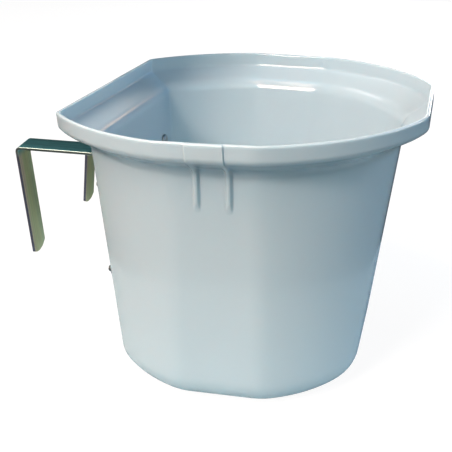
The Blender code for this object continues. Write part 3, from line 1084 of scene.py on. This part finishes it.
class Seen(Enum):
    """Which rays meet a surface of the studio."""

    BY_CAMERA = "the camera's own rays"
    BY_LIGHT = "all rays but the camera's"

    def limit(self, obj: Object, shadow: bool) -> None:
        """Hide an object from every other kind of ray.

        Args:
            obj: The object.
            shadow: True where it also casts a shadow.
        """
        own = self is Seen.BY_CAMERA
        obj.visible_camera = own
        obj.visible_diffuse = obj.visible_glossy = obj.visible_transmission = not own
        obj.visible_shadow = shadow


@dataclass(frozen=True)
class SoftBox:
    """Rectangular light that faces the tub, with its bearing in degrees.

    Its power is in watts, one number each for red, green and blue.
    """

    name: str
    azimuth: float
    elevation: float
    width: float
    height: float
    power: Triple

    def make(self, centre: Vector, distance: float) -> None:
        """Add the light to the scene.

        Args:
            centre: The point that it faces.
            distance: How far from that point it stands.
        """
        turn, rise = math.radians(self.azimuth), math.radians(self.elevation)
        away = Vector((math.cos(turn) * math.cos(rise), math.sin(turn) * math.cos(rise),
                       math.sin(rise)))
        light = bpy.data.lights.new(self.name, "AREA")
        light.shape = "RECTANGLE"
        light.size, light.size_y = self.width, self.height
        light.energy = max(self.power)
        light.color = [share / light.energy for share in self.power]
        obj = linked(self.name, light)
        obj.location = centre + away * distance
        obj.rotation_euler = (-away).to_track_quat("-Z", "Y").to_euler()
        obj.visible_camera = False


@dataclass
class Studio:
    """Pale floor and backdrop, soft lights and the camera at the photograph's angle.

    The floor and backdrop that the camera sees are kept apart from the small
    pale sheet that lights the tub from below, so that the background stays
    nearly white while the plastic mirrors a dim room beyond the sheet's edge.
    A card above the back wall, seen by the light alone, shades the far corner.
    """

    place: Triple = (-0.6694, -0.1670, 0.4092)
    pitch: float = math.radians(22.87)
    yaw: float = math.radians(15.41)
    roll: float = math.radians(-0.50)
    focal_pixels: float = 812.7
    image_pixels: float = 452.0
    sensor: float = 36.0
    room_radius: float = 6.0
    sheet_radius: float = 0.29
    floor_drop: float = 0.0006
    hub_radius: float = 0.5
    ring_steps: int = 96
    floor_tone: float = 0.11
    floor_glow: float = 0.94
    sheet_colour: Triple = (0.38, 0.52, 0.58)
    ambient: Triple = (0.02, 0.03, 0.035)
    centre: Triple = (0.0, 0.0, 0.13)
    distance: float = 2.5
    card_y: float = 0.128
    card_left: Pair = (0.005, -0.17)
    card_right: float = 0.15
    card_heights: Pair = (0.252, 0.60)
    card_tone: float = 0.02
    lights: tuple[SoftBox, ...] = (  # Name, bearing, rise, width, height, power.
        SoftBox("streak_lamp", 158.0, 32.0, 0.6, 0.66, (51.0, 41.5, 36.0)),
        SoftBox("side_key", 145.0, 55.0, 1.6, 1.8, (55.0, 39.0, 31.0)),
        SoftBox("front_left", -175.0, 35.0, 1.4, 1.2, (11.0, 11.2, 11.0)),
        SoftBox("front_right", -130.0, 30.0, 1.2, 1.0, (5.4, 7.8, 8.6)),
        SoftBox("right", -65.0, 30.0, 1.8, 1.0, (0.1, 3.6, 9.5)),
        SoftBox("low_right", -68.0, 3.0, 1.4, 0.8, (23.0, 21.0, 20.0)),
        SoftBox("warm_spot", -20.0, 22.0, 0.35, 0.35, (1.2, 0.7, 0.4)),
        SoftBox("far_fill", -5.0, 3.0, 1.4, 0.8, (20.0, 20.0, 20.0)),
        SoftBox("back", 65.0, 45.0, 1.2, 1.0, (9.5, 8.4, 8.6)),
        SoftBox("top", 90.0, 75.0, 1.2, 1.2, (4.5, 8.4, 10.6)),
    )

    def camera(self) -> None:
        """Put the camera where the photograph was taken from."""
        c, s = math.cos(self.pitch), math.sin(self.pitch)
        forward = Vector((math.cos(self.yaw) * c, math.sin(self.yaw) * c, -s))
        right = forward.cross(Vector((0.0, 0.0, 1.0))).normalized()
        up = right.cross(forward)
        c, s = math.cos(self.roll), math.sin(self.roll)
        axes = Matrix((c * right + s * up, c * up - s * right, -forward)).transposed()
        data = bpy.data.cameras.new("camera")
        data.sensor_width = self.sensor
        data.lens = self.focal_pixels / self.image_pixels * self.sensor
        data.shift_x = -0.5 / self.image_pixels
        data.shift_y = 0.5 / self.image_pixels
        obj = linked("camera", data)
        obj.matrix_world = Matrix.Translation(self.place) @ axes.to_4x4()
        bpy.context.scene.camera = obj

    def world(self) -> None:
        """Dim cool light from all round."""
        world = bpy.data.worlds.new("studio")
        world.use_nodes = True
        back = world.node_tree.nodes["Background"]
        back.inputs["Color"].default_value = rgb(*self.ambient)
        bpy.context.scene.world = world

    def stage(self, name: str, rings: list[Pair], seen: Seen,
              **finish: object) -> None:
        """Add a round surface of the studio.

        Args:
            name: Name of the object.
            rings: Radius and height of each ring, from the middle outwards.
            seen: Which rays meet it.
            finish: Values of its shader's sockets.
        """
        radius, z = np.array(rings).T[..., None]
        mesh = turned_mesh(name, radius, z, self.ring_steps)
        mesh.shade_flat()
        self.placed(mesh, ShaderTree(name).surface(**finish), seen, False)

    def card(self) -> None:
        """Black card that shades the tub's far corner from the lamps on the left."""
        (low_left, high_left), right, y = self.card_left, self.card_right, self.card_y
        low, high = self.card_heights
        corners = [(low_left, y, low), (right, y, low), (right, y, high), (high_left, y, high)]
        mesh = bpy.data.meshes.new("shade_card")
        mesh.from_pydata(corners, [], [(0, 1, 2, 3)])
        tone = self.card_tone
        black = ShaderTree("shade_card").surface(
            Base_Color=rgb(tone, tone, tone), Roughness=MATT, Specular_IOR_Level=0.0)
        self.placed(mesh, black, Seen.BY_LIGHT, True)

    @staticmethod
    def placed(mesh: Mesh, material: Material, seen: Seen,
               shadow: bool) -> None:
        """Put a surface of the studio into the scene.

        Args:
            mesh: The surface.
            material: Its finish.
            seen: Which rays meet it.
            shadow: True where it casts a shadow.
        """
        mesh.materials.append(material)
        obj = linked(mesh.name, mesh)
        seen.limit(obj, shadow)

    def make(self) -> None:
        """Set up floor, light and camera."""
        self.camera()
        self.world()
        far, low, tone = self.room_radius, -self.floor_drop, self.floor_tone
        hub = self.hub_radius
        self.stage("floor_and_backdrop", [(hub, low), (far, low), (far, far), (hub, far)],
                   Seen.BY_CAMERA, Base_Color=rgb(tone, tone, tone), Roughness=MATT,
                   Specular_IOR_Level=0.0, Emission_Color=rgb(1.0, 1.0, 1.0),
                   Emission_Strength=self.floor_glow)
        edge = self.sheet_radius
        middle, under = edge / 2.0, 2.0 * low
        self.stage("bounce_sheet",
                   [(middle, low), (edge, low), (edge, under), (middle, under)],
                   Seen.BY_LIGHT, Base_Color=rgb(*self.sheet_colour), Roughness=MATT)
        self.card()
        for light in self.lights:
            light.make(Vector(self.centre), self.distance)
        view = bpy.context.scene.view_settings
        view.view_transform = "Standard"
        view.look = "None"


def main() -> None:
    """Build the tub, its hooks and fixings and the studio."""
    logging.basicConfig(level=logging.INFO, format="%(name)s: %(message)s")
    plastic = MouldedPlastic().make()
    steel = PassivatedSteel().make()
    zinc = ZincPlate().make()
    tub = Tub()
    add_piece("tub_moulding", tub.mesh(), plastic, "shell_plastic", "bucket_shell")
    hooks = {
        "left": RailHook(tub, x=-0.066, gap=0.073, tilt=math.radians(-1.7),
                         skew=math.radians(-5.4), spread=0.0),
        "right": RailHook(tub, x=0.066, gap=0.067, tilt=0.0,
                          skew=math.radians(-3.4), spread=math.radians(7.8)),
    }
    for side, hook in hooks.items():
        name = side + "_rail_hook"
        add_piece(name, hook.mesh(name), steel, "hook_steel", side + "_hook")
        fixing = Fixing(hook)
        for level, place in hook.fixing_frames().items():
            tag = f"{side}_{level}"
            bolt = fixing.bolt_mesh("dome_bolt_" + tag, place)
            add_piece("dome_bolt_" + tag, bolt, zinc, "fixing_steel", "bolt_" + tag)
            nut = fixing.nut_mesh("hex_nut_" + tag, place)
            add_piece("hex_nut_" + tag, nut, zinc, "fixing_steel", "nut_" + tag)
    Studio().make()


if __name__ == "__main__":
    main()
